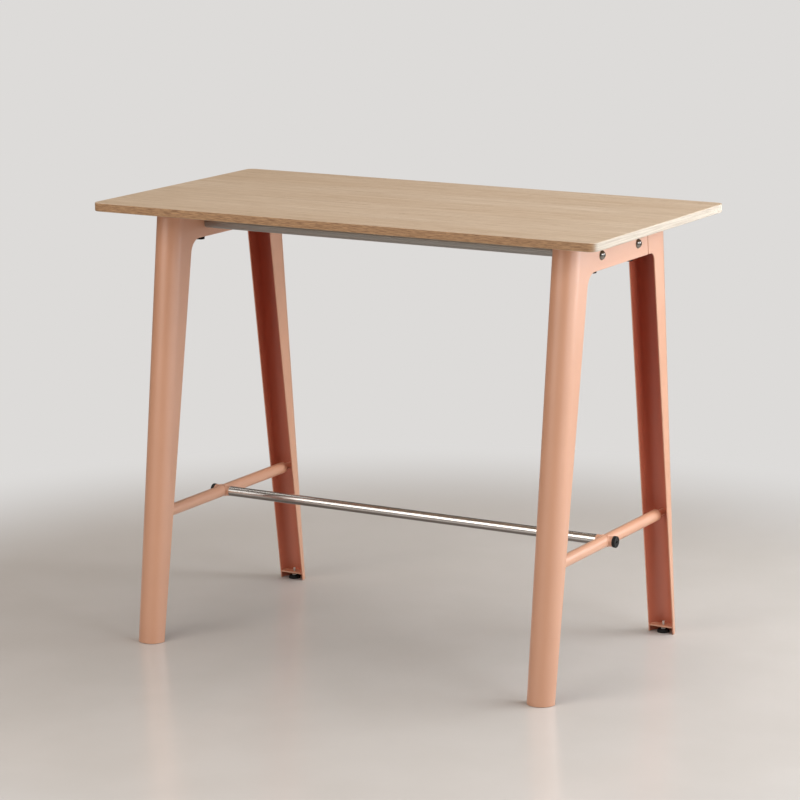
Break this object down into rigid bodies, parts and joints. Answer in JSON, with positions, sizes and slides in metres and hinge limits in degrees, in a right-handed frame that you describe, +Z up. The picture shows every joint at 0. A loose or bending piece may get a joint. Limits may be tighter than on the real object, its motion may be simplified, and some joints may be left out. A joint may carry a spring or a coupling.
{
  "type": "standing meeting table",
  "caption": "Standing-height table: an oak board on tapering folded-sheet trestles, joined by rails under the board and a polished foot rail, on levelling feet.",
  "frame": {"origin": "on the floor under the middle of the board", "axes": "+X along the board's length, +Y towards the back, +Z up"},
  "size_m": [1.3, 0.7131, 1.05],
  "materials": {
    "oak": "clear matt lacquer on oak, grain along the length",
    "leg_paint": "satin powder coat, salmon",
    "rail_steel": "satin grey steel",
    "foot_rail_chrome": "polished",
    "polished_steel": "polished dark plate on steel",
    "zinc_steel": "bright zinc plate",
    "black_steel": "black oxide, satin",
    "black_plastic": "moulded, matt",
    "black_plastic_cap": "moulded cap on a steel screw, fine satin"
  },
  "bodies": {
    "table": {"tabletop": "oak", "left_front_leg": "leg_paint", "left_rear_leg": "leg_paint", "left_head_channel": "leg_paint", "left_stretcher": "leg_paint", "left_stretcher_boss": "leg_paint", "left_stretcher_stubs": "leg_paint", "right_front_leg": "leg_paint", "right_rear_leg": "leg_paint", "right_head_channel": "leg_paint", "right_stretcher": "leg_paint", "right_stretcher_boss": "leg_paint", "right_stretcher_stubs": "leg_paint", "left_front_foot_plate": "leg_paint", "left_front_foot_nut": "leg_paint", "left_rear_foot_plate": "leg_paint", "left_rear_foot_nut": "leg_paint", "right_front_foot_plate": "leg_paint", "right_front_foot_nut": "leg_paint", "right_rear_foot_plate": "leg_paint", "right_rear_foot_nut": "leg_paint", "front_rail": "rail_steel", "rear_rail": "rail_steel", "rail_plugs": "zinc_steel", "rail_bolts": "polished_steel", "rail_bolt_sleeves": "zinc_steel", "top_bolts": "black_steel", "top_spacers": "zinc_steel", "top_inserts": "zinc_steel", "foot_rail": "foot_rail_chrome", "foot_rail_plugs": "zinc_steel", "foot_rail_screws": "black_plastic_cap"},
    "left_front_pad": {"left_front_foot_pad": "black_plastic"},
    "left_front_stud": {"left_front_foot_stud": "zinc_steel"},
    "left_rear_pad": {"left_rear_foot_pad": "black_plastic"},
    "left_rear_stud": {"left_rear_foot_stud": "zinc_steel"},
    "right_front_pad": {"right_front_foot_pad": "black_plastic"},
    "right_front_stud": {"right_front_foot_stud": "zinc_steel"},
    "right_rear_pad": {"right_rear_foot_pad": "black_plastic"},
    "right_rear_stud": {"right_rear_foot_stud": "zinc_steel"}
  },
  "joints": [
    {"name": "left_front_pad_height", "type": "slide", "parent": "table", "child": "left_front_pad", "axis": [0, 0, -1], "range_m": [0, 0.008]},
    {"name": "left_front_stud_turn", "type": "hinge", "parent": "left_front_pad", "child": "left_front_stud", "pos_m": [-0.519, -0.3345, 0.012], "axis": [0, 0, -1], "range_deg": [0, 2880]},
    {"name": "left_rear_pad_height", "type": "slide", "parent": "table", "child": "left_rear_pad", "axis": [0, 0, -1], "range_m": [0, 0.008]},
    {"name": "left_rear_stud_turn", "type": "hinge", "parent": "left_rear_pad", "child": "left_rear_stud", "pos_m": [-0.519, 0.3345, 0.012], "axis": [0, 0, -1], "range_deg": [0, 2880]},
    {"name": "right_front_pad_height", "type": "slide", "parent": "table", "child": "right_front_pad", "axis": [0, 0, -1], "range_m": [0, 0.008]},
    {"name": "right_front_stud_turn", "type": "hinge", "parent": "right_front_pad", "child": "right_front_stud", "pos_m": [0.519, -0.3345, 0.012], "axis": [0, 0, -1], "range_deg": [0, 2880]},
    {"name": "right_rear_pad_height", "type": "slide", "parent": "table", "child": "right_rear_pad", "axis": [0, 0, -1], "range_m": [0, 0.008]},
    {"name": "right_rear_stud_turn", "type": "hinge", "parent": "right_rear_pad", "child": "right_rear_stud", "pos_m": [0.519, 0.3345, 0.012], "axis": [0, 0, -1], "range_deg": [0, 2880]}
  ],
  "couplings": [
    {"joint": "left_front_stud_turn", "follows": "left_front_pad_height", "rad_per_m": 6283.2},
    {"joint": "left_rear_stud_turn", "follows": "left_rear_pad_height", "rad_per_m": 6283.2},
    {"joint": "right_front_stud_turn", "follows": "right_front_pad_height", "rad_per_m": 6283.2},
    {"joint": "right_rear_stud_turn", "follows": "right_rear_pad_height", "rad_per_m": 6283.2}
  ]
}
